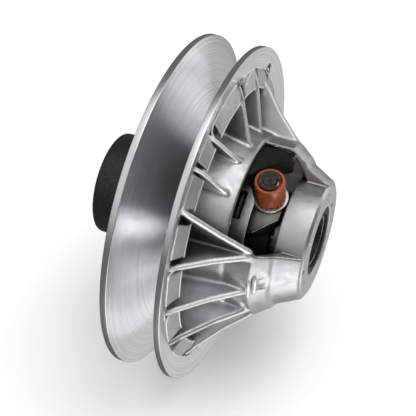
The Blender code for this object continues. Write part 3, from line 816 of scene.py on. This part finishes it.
def make_sliding_casting():
    grid = Grid(107.0, 72.0, 158.5, 0.8)
    base = [
        (105.4, 83.2), (105.4, 84.8), (103.6, 85.1), (91.5, 82.8), (72.5, 78.7), (69.0, 80.2), (67.2, 84.0),
        (62.7, 104.4), (62.0, 106.5), (61.0, 107.1), (59.6, 107.1), (58.9, 106.4), (58.8, 104.0), (58.8, 77.0),
        (43.4, 77.0), (43.4, 74.0), (61.5, 74.0), (72.0, sliding_face(72.0) + 1.2),
    ]
    field = grid.turned(base)
    wall = grid.turned([(90.6, 80.0), (91.2, 90.2), (91.7, 90.9), (92.4, 91.1), (93.2, 90.9), (104.7, 87.1),
                        (105.2, 86.7), (105.3, 82.0)])
    for first, last in facet_spans():
        for turn in (-180.0, 0.0):
            sector = grid.sector(first + turn, last + turn)
            field = join(field, meet(wall, sector, 0.9), 1.2)
    collar_side = grid.turned([(58.8, 74.0), (61.6, 74.0), (61.5, 126.4), (60.9, 127.6), (59.7, 129.0),
                               (54.6, 135.8), (53.6, 136.8), (50.9, 138.6), (50.2, 139.6), (42.4, 154.6),
                               (41.6, 155.2), (38.0, 155.2), (38.0, 141.5), (47.0, 135.6), (57.0, 127.8),
                               (58.8, 125.0)])
    for turn in (0.0, -180.0):
        leg = meet(collar_side, grid.sector(LEG_SPAN[0] + turn, LEG_SPAN[1] + turn), 0.7)
        field = join(field, leg, 3.0)
    angle = np.degrees(np.arctan2(grid.z, grid.x))
    rise = np.clip(angle - FIN_START, 0.0, FIN_SWEEP) * 0.32
    fin = meet(np.abs(grid.r - 103.5) - 0.8, grid.s - 87.0 - rise, 0.5)
    fin = np.maximum(np.maximum(fin, grid.sector(FIN_START, FIN_START + FIN_SWEEP)), 84.0 - grid.s)
    field = join(field, fin, 0.8)
    field = add_ribs(grid, field)
    inside_collar = grid.turned([(0.0, 78.0), (58.4, 78.0), (58.4, 125.0), (56.8, 127.6), (46.8, 135.2),
                                 (38.0, 141.3), (0.0, 141.3)])
    field = cut(field, inside_collar, 0.6)
    field = np.maximum(field, sliding_face(grid.r) + FACE_SKIN - grid.s)
    core = grid.turned([(24.3, 129.6), (28.0, 129.6), (28.0, 133.5), (29.5, 135.2), (40.3, 135.2),
                        (40.3, 154.0), (24.5, 154.0)])
    field = join(field, core, 1.4)
    field = scoop_legs(grid, field)
    spot = polar(BALANCE_HOLE[0], BALANCE_HOLE[1], 0.0) / MM
    hole = np.sqrt((grid.x - spot.x) ** 2 + (grid.z - spot.z) ** 2) - BALANCE_HOLE[2]
    field = np.maximum(field, -np.maximum(hole, BALANCE_FLOOR - grid.s))
    mesh = grid.mesh(field, "sliding_sheave_casting")
    item = new_object("sliding_sheave_casting", mesh, LOOKS["cast_aluminium"],
                      "sliding_half", ["sliding_sheave"], sharp=60.0)
    thin(item, 196000)


def scoop_legs(grid, field):
    """A wide shallow scoop on each leg's sloping flank, with a small deep one inside it."""
    lean = (0.81, 0.586)
    scoops = ((174.0, 56.0, 134.0, 38.0, 1.3), (174.6, 56.2, 134.0, 7.0, 2.4))
    for angle, radius, station, size, depth in scoops:
        out, side = grid.turn_to(angle)
        out = out - radius
        height = out * lean[0] + (grid.s - station) * lean[1]
        slip = out * lean[1] - (grid.s - station) * lean[0]
        scoop = np.sqrt(side ** 2 + slip ** 2 + (height - size + depth) ** 2) - size
        field = cut(field, scoop, 0.5)
    return field


def drill(item, name, spots):
    """Cuts round holes along the turning axis; a spot is (radius, angle, station, hole radius, depth)."""
    for number, (radius, angle, station, size, depth) in enumerate(spots):
        shape = bmesh.new()
        bmesh.ops.create_cone(shape, cap_ends=True, segments=32, radius1=size * MM, radius2=size * MM,
                              depth=2 * depth * MM)
        mesh = mesh_of(shape, f"{name}_{number + 1}")
        tool = bpy.data.objects.new(mesh.name, mesh)
        tool.matrix_world = (Matrix.Translation(polar(radius, angle, station))
                             @ Matrix.Rotation(math.pi / 2, 4, "X"))
        bpy.context.scene.collection.objects.link(tool)
        cutter = item.modifiers.new(mesh.name, "BOOLEAN")
        cutter.operation = "DIFFERENCE"
        cutter.solver = "EXACT"
        cutter.object = tool
        bpy.context.view_layer.update()
        drilled = bpy.data.meshes.new_from_object(item.evaluated_get(bpy.context.evaluated_depsgraph_get()))
        item.modifiers.clear()
        item.data = drilled
        bpy.data.objects.remove(tool)
    item.data.shade_smooth()
    item.data.set_sharp_from_angle(angle=math.radians(30.0))


def make_nose():
    """The tower's turned nose with its ejector marks and core holes."""
    outline = rounded([
        (24.3, 129.8, 0.3), (27.8, 129.8, 0.5), (28.2, 133.6, 0.5), (29.6, 135.0, 0.6), (40.6, 135.0, 1.0),
        (40.8, 154.4, 0.8), (38.9, 156.4, 0.6), (25.2, 156.4, 0.4), (24.3, 155.6, 0.2),
    ])
    nose = new_object("sliding_sheave_nose", turned_mesh("sliding_sheave_nose", outline, 192),
                      LOOKS["cast_aluminium"], "sliding_half", ["sliding_sheave"])
    marks = ((34.0, 65.0, 1.0), (30.9, 67.0, 1.0), (28.5, 22.0, 1.9), (36.6, 136.0, 1.1), (36.4, 172.0, 1.9),
             (33.0, 200.5, 1.0))
    drill(nose, "nose_tool", [(radius, angle, 156.4, size, 4.0) for radius, angle, size in marks])


def make_sliding_disc():
    rear, front = SLIDING_RIM
    outline = rounded([
        (SHEAVE_R, rear, 0.5), (SHEAVE_R, front, 0.5), (104.9, 87.1, 0.3), (104.7, 84.4),
        (92.0, 82.0), (72.0, 77.9), (62.0, 76.4), (44.0, 76.4), (43.5, 76.0), (43.5, 55.6, 0.8),
        (26.0, 55.6, 0.8), (26.0, 84.0, 0.6), (22.3, 84.0, 0.4), (22.3, 52.5, 0.3), (47.0, 52.5, 1.0),
        (47.5, 68.2, 0.5), (50.5, sliding_face(50.5), 0.4), (70.0, sliding_face(70.0)),
        (90.0, sliding_face(90.0)), (108.0, sliding_face(108.0)),
    ])
    disc = new_object("sliding_sheave_disc", turned_mesh("sliding_sheave_disc", outline, 256),
                      LOOKS["machined_aluminium"], "sliding_half", ["sliding_sheave"])
    radius, angle, size = BALANCE_HOLE
    drill(disc, "balance_tool", [(radius, angle, SLIDING_RIM[1], size, SLIDING_RIM[1] - BALANCE_FLOOR)])


def add_bead(shape, path, sides=10):
    """Sweeps a rounded bead; a path point is (radius, angle, station, bead radius)."""
    spots = [polar(radius, angle, station) for radius, angle, station, _ in path]
    rings = []
    for index, spot in enumerate(spots):
        way = (spots[min(index + 1, len(spots) - 1)] - spots[max(index - 1, 0)]).normalized()
        across = way.cross(Vector((0.0, -1.0, 0.0))).normalized()
        up = across.cross(way)
        ring = []
        for side in range(sides):
            turn = 2 * math.pi * side / sides
            arm = across * math.cos(turn) + up * math.sin(turn)
            ring.append(shape.verts.new(spot + arm * path[index][3] * MM))
        rings.append(ring)
    bridge_open(shape, rings)


def bead_piece(name, paths, look, body, nodes):
    """Beads along the paths and along the same paths half a turn further."""
    shape = bmesh.new()
    for path in paths:
        for turn in (0.0, 180.0):
            add_bead(shape, [(radius, angle + turn, station, size) for radius, angle, station, size in path])
    new_object(name, outward_mesh(shape, name), LOOKS[look], body, nodes, sharp=50.0)


def make_inner_edges():
    """Thin bright edges, worn and with painted highlight, on the spring cup's rim and where the spider's flank
    meets its arm.
    """
    rim = [(44.5, 116.0 + 146.0 * step / 60, 114.35, 0.4) for step in range(61)]
    bead_piece("spring_cup_edge", [rim], "polished_and_highlit_edges", "fixed_half", ["spring_cup"])
    flank = [(36.6, 123.5 + 20.0 * step / 8, 131.6 - 14.6 * step / 8, 0.35) for step in range(9)]
    bead_piece("spider_edge", [flank], "polished_and_highlit_edges", "fixed_half", ["spider"])


def smooth_path(points, steps=6):
    """A smooth line through the points."""
    result = []
    last = len(points) - 1
    for index in range(last):
        before, here = points[max(index - 1, 0)], points[index]
        there, after = points[index + 1], points[min(index + 2, last)]
        for step in range(steps):
            t = step / steps
            result.append(tuple(
                0.5 * (2 * b + (c - a) * t + (2 * a - 5 * b + 4 * c - d) * t * t
                       + (3 * b - a - 3 * c + d) * t ** 3)
                for a, b, c, d in zip(before, here, there, after)))
    result.append(tuple(points[-1]))
    return result


def make_bright_edges():
    """Beads in the lighter edge metal, polished wear and painted highlight, on the ribs' crests, the ring wall's
    edges, the fin and the bars on the legs.
    """
    paths = []
    swells = ((-0.13, 0.6), (-0.07, 0.8), (0.02, 0.95), (0.1, 1.0), (0.3, 1.0), (0.52, 1.0), (0.75, 1.0),
              (0.94, 1.0), (0.985, 0.9))
    for outer, inner, climbs in ALL_RIBS:
        rib = Rib(outer, inner, climbs)
        path = []
        for share, swell in swells:
            place = rib.outer + rib.way * rib.length * share
            station = float(np.interp(share, *zip(*rib.crest)))
            size = rib.half_width * swell
            angle = math.degrees(math.atan2(place[1], place[0]))
            path.append((math.hypot(*place), angle, station - size + 0.12, size))
        paths.append(path)
    for first, last in facet_spans():
        crest = [(90.6, first - 0.5, 90.4, 0.35), (91.9, first + 0.1, 90.7, 0.6),
                 (92.4, first + 1.0, 90.8, 0.62)]
        crest += [(92.4, first + (last - first) * share, 90.8, 0.62) for share in (0.25, 0.5, 0.75)]
        crest += [(92.4, last - 1.0, 90.8, 0.62), (91.9, last - 0.1, 90.7, 0.6),
                  (90.6, last + 0.5, 90.4, 0.35)]
        paths.append(smooth_path(crest, 3))
        paths.append([(104.5, first + 0.6 + (last - first - 1.2) * step / 12, 87.0, 0.5)
                      for step in range(13)])
    for rib_angle, way in ((107.0, -1.0), (136.5, -1.0), (157.0, 1.0), (177.0, 1.0)):
        arc = ((98.6, 0.2, 89.4, 1.0), (101.6, 0.6, 88.2, 0.8), (104.0, 2.0, 87.3, 0.6), (104.6, 4.2, 87.0, 0.5),
               (104.3, 8.0, 87.0, 0.35))
        paths.append(smooth_path([(radius, rib_angle + way * turn, station, size)
                                  for radius, turn, station, size in arc]))
    paths.append([(97.5, 60.0, 89.6, 1.2), (101.5, 60.8, 88.0, 1.0), (106.5, 61.8, 86.6, 0.5)])
    paths.append([(103.5, 64.8, 87.2, 0.4), (103.5, 71.0, 89.2, 0.55), (103.5, 78.2, 91.3, 0.55)])
    for radius, angle, station in ((61.5, 175.0, 126.6), (59.6, 171.8, 130.2)):
        bar = ((-4.0, 0.8), (-3.0, 1.3), (-1.0, 1.6), (8.0, 1.6), (9.6, 1.3), (10.4, 0.7))
        paths.append([(radius, angle + turn, station, size) for turn, size in bar])
    bead_piece("sliding_sheave_edges", paths, "polished_and_highlit_edges", "sliding_half",
               ["sliding_sheave"])


def make_nose_ring():
    outline = rounded([(19.3, 129.3, 0.3), (24.0, 129.3, 0.3), (24.0, 155.8, 0.5), (19.3, 155.8, 0.8)])
    new_object("tower_bushing_ring", turned_mesh("tower_bushing_ring", outline, 160), LOOKS["ramp_plastic"],
               "sliding_half", ["tower_bushing"])


def make_spring():
    """A round-wire coil, cut off square at both ends."""
    low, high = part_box("spring")
    wire = 2.8
    mean = high.x / MM - wire
    bottom, top = -high.y / MM + wire, -low.y / MM - wire
    turns, per_turn, around = 4.5, 40, 16
    count = int(turns * per_turn) + 1
    shape = bmesh.new()
    rings = []
    for step in range(count):
        share = step / (count - 1)
        angle = 360.0 * turns * share
        station = bottom + (top - bottom) * share
        ring = []
        for side in range(around):
            turn = 2 * math.pi * side / around
            ring.append(shape.verts.new(polar(mean + wire * math.cos(turn), angle,
                                              station + wire * math.sin(turn))))
        rings.append(ring)
    bridge_open(shape, rings)
    item = new_object("spring_coil", outward_mesh(shape, "spring_coil"), LOOKS["spring_steel"],
                      "fixed_half", ["spring"])
    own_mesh(item)


def finish_carried_nodes():
    """CAD nodes that keep their own shape get the material of their slot."""
    slots = {row["node"]: row["material_slot"] for row in frame["record"]["subparts"]}
    for node, item in frame["nodes"].items():
        if item.hide_render:
            continue
        item.data.materials.clear()
        item.data.materials.append(LOOKS[slots[node]])
        item.data.shade_smooth()
        item.data.set_sharp_from_angle(angle=math.radians(32.0))


# ---- studio ----
def make_floor():
    shape = bmesh.new()
    reach = 6.0
    gap = 0.0005
    level = cad_low.z - gap
    plan = ((-reach, -reach), (reach, -reach), (reach, reach), (-reach, reach))
    shape.faces.new([shape.verts.new((x, y, level)) for x, y in plan])
    mesh = mesh_of(shape, "studio_floor")
    mesh.materials.append(floor_look())
    floor = bpy.data.objects.new("studio_floor", mesh)
    bpy.context.scene.collection.objects.link(floor)
    floor.visible_glossy = False


def make_camera():
    """The camera fitted to the photo."""
    forward = Vector((0.65149, 0.26355, -0.71141))
    right = Vector((0.37501, -0.92702, 0.0))
    up = right.cross(forward)
    camera = bpy.data.objects.new("camera", bpy.data.cameras.new("camera"))
    place = Matrix.Translation((-0.46666, -0.26251, 0.51040))
    camera.matrix_world = place @ Matrix((right, up, -forward)).transposed().to_4x4()
    camera.data.lens = 87.4
    camera.data.sensor_width = 36.0
    camera.data.clip_start = 0.01
    camera.data.clip_end = 50.0
    bpy.context.scene.collection.objects.link(camera)
    bpy.context.scene.camera = camera


def soft_light(name, place, target, size, power):
    lamp = bpy.data.lights.new(name, "AREA")
    lamp.shape = "RECTANGLE"
    lamp.size, lamp.size_y = size
    lamp.energy = power
    item = bpy.data.objects.new(name, lamp)
    item.location = place
    item.rotation_euler = (Vector(target) - Vector(place)).to_track_quat("-Z", "Y").to_euler()
    item.visible_glossy = False
    bpy.context.scene.collection.objects.link(item)


STUDIO_BASE = 0.14
STUDIO_PANELS = (
    # direction of a soft panel, angle where it is full, angle where it ends, brightness
    ((-0.6, -0.5, -0.62), 12.0, 44.0, 1.7),
    ((-0.4, 0.25, 0.87), 15.0, 60.0, 0.6),
    ((0.1, -0.3, 0.95), 12.0, 36.0, 1.6),
    ((0.84, -0.54, 0.08), 10.0, 34.0, 0.9),
    ((0.5, -0.42, -0.75), 14.0, 40.0, 0.5),
    ((0.09, -0.92, -0.37), 3.0, 10.0, 1.5),
)
# what a reflection of a reflection sees, mostly between the two belt faces
REPEAT_BASE = 0.27
REPEAT_PANELS = (
    ((-0.9, -0.43, 0.03), 6.0, 17.0, 24.0),
    ((-0.65, 0.15, -0.68), 20.0, 36.0, 1.9),
    ((0.05, 0.0, -1.0), 30.0, 48.0, 1.0),
    ((0.92, 0.0, 0.18), 24.0, 44.0, 1.5),
)


def add_room(nodes, links, way, base, panels):
    """Brightness of a plain room with soft round panels in it."""
    total = None
    for direction, full, end, brightness in panels:
        facing = nodes.new("ShaderNodeVectorMath")
        facing.operation = "DOT_PRODUCT"
        links.new(way, facing.inputs[0])
        facing.inputs[1].default_value = Vector(direction).normalized()
        glow = nodes.new("ShaderNodeMapRange")
        glow.interpolation_type = "SMOOTHSTEP"
        links.new(facing.outputs["Value"], glow.inputs["Value"])
        glow.inputs["From Min"].default_value = math.cos(math.radians(end))
        glow.inputs["From Max"].default_value = math.cos(math.radians(full))
        glow.inputs["To Max"].default_value = brightness
        summed = nodes.new("ShaderNodeMath")
        summed.inputs[0].default_value = base
        if total is not None:
            links.new(total, summed.inputs[0])
        links.new(glow.outputs["Result"], summed.inputs[1])
        total = summed.outputs[0]
    return total


def make_world():
    """A pale room for soft light; what metal reflects is a darker room with soft panels around it."""
    world = bpy.data.worlds.new("studio")
    world.use_nodes = True
    nodes, links = world.node_tree.nodes, world.node_tree.links
    way = nodes.new("ShaderNodeTexCoord").outputs["Generated"]
    first = add_room(nodes, links, way, STUDIO_BASE, STUDIO_PANELS)
    again = add_room(nodes, links, way, REPEAT_BASE, REPEAT_PANELS)
    path = nodes.new("ShaderNodeLightPath")
    repeated = nodes.new("ShaderNodeMath")
    repeated.operation = "GREATER_THAN"
    links.new(path.outputs["Glossy Depth"], repeated.inputs[0])
    repeated.inputs[1].default_value = 1.5
    mirrored = nodes.new("ShaderNodeMix")
    mirrored.data_type = "RGBA"
    links.new(repeated.outputs[0], mirrored.inputs["Factor"])
    links.new(first, mirrored.inputs["A"])
    links.new(again, mirrored.inputs["B"])
    pick = nodes.new("ShaderNodeMix")
    pick.data_type = "RGBA"
    links.new(path.outputs["Is Glossy Ray"], pick.inputs["Factor"])
    pick.inputs["A"].default_value = (0.97, 0.97, 0.97, 1.0)
    links.new(mirrored.outputs["Result"], pick.inputs["B"])
    links.new(pick.outputs["Result"], nodes["Background"].inputs["Color"])
    bpy.context.scene.world = world


make_camera()
make_world()
make_floor()
soft_light("ceiling", (0.2, -0.5, 1.5), (0.0, -0.08, 0.0), (1.0, 1.0), 9.0)
bpy.context.scene.view_settings.view_transform = "Standard"

make_fixed_sheave()
make_back_ribs()
make_rear_hub()
make_post()
make_spider()
make_spring_cup()
make_rollers()
make_sliding_casting()
make_sliding_disc()
make_bright_edges()
make_inner_edges()
make_nose()
make_nose_ring()
make_spring()
finish_carried_nodes()

bpy.context.view_layer.update()
